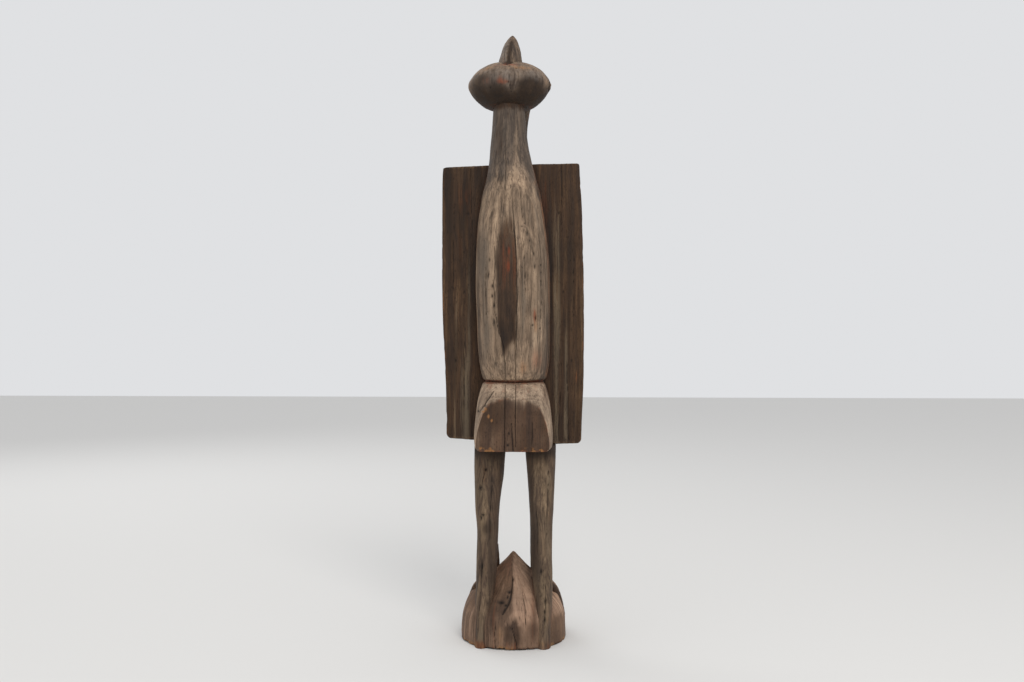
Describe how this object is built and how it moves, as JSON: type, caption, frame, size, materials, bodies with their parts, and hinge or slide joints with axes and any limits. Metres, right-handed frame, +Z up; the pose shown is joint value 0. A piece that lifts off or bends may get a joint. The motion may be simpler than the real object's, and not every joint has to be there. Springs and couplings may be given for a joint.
{
  "type": "carved bird figure",
  "caption": "Tall free-standing carved wooden hornbill figure with a crested head, long curved beak, board wings and a block tail, standing on a domed mound.",
  "frame": {"origin": "centre of the mound's flat underside, on the floor", "axes": "+Z up, +Y the way the beak points, which is the figure's front, and +X the figure's own right"},
  "size_m": [0.2909, 0.2531, 1.22],
  "materials": {
    "torso_wood": "weathered bare grey-brown wood with a dark stain down the back",
    "wing_wood": "dark stained boards worn to red-brown at the edges",
    "tail_wood": "dark stained block worn pale on its upper slope",
    "head_wood": "dark brown stained wood, dry and matt",
    "leg_wood": "weathered grey-brown wood with dark streaks",
    "mound_wood": "purple-brown stained wood with black cracks",
    "dowel_wood": "plain unstained hardwood"
  },
  "bodies": {
    "root": {"mound": "mound_wood", "left_leg": "leg_wood", "right_leg": "leg_wood", "left_foot": "mound_wood", "right_foot": "mound_wood", "torso": "torso_wood", "tail": "tail_wood", "left_wing": "wing_wood", "right_wing": "wing_wood", "head": "head_wood", "crest": "head_wood", "beak": "head_wood", "left_eye": "head_wood", "right_eye": "head_wood", "neck_dowel": "dowel_wood", "crest_dowel": "dowel_wood", "beak_dowel": "dowel_wood", "wing_dowels": "dowel_wood", "tail_dowels": "dowel_wood", "hip_dowels": "dowel_wood", "ankle_dowels": "dowel_wood"}
  },
  "joints": []
}
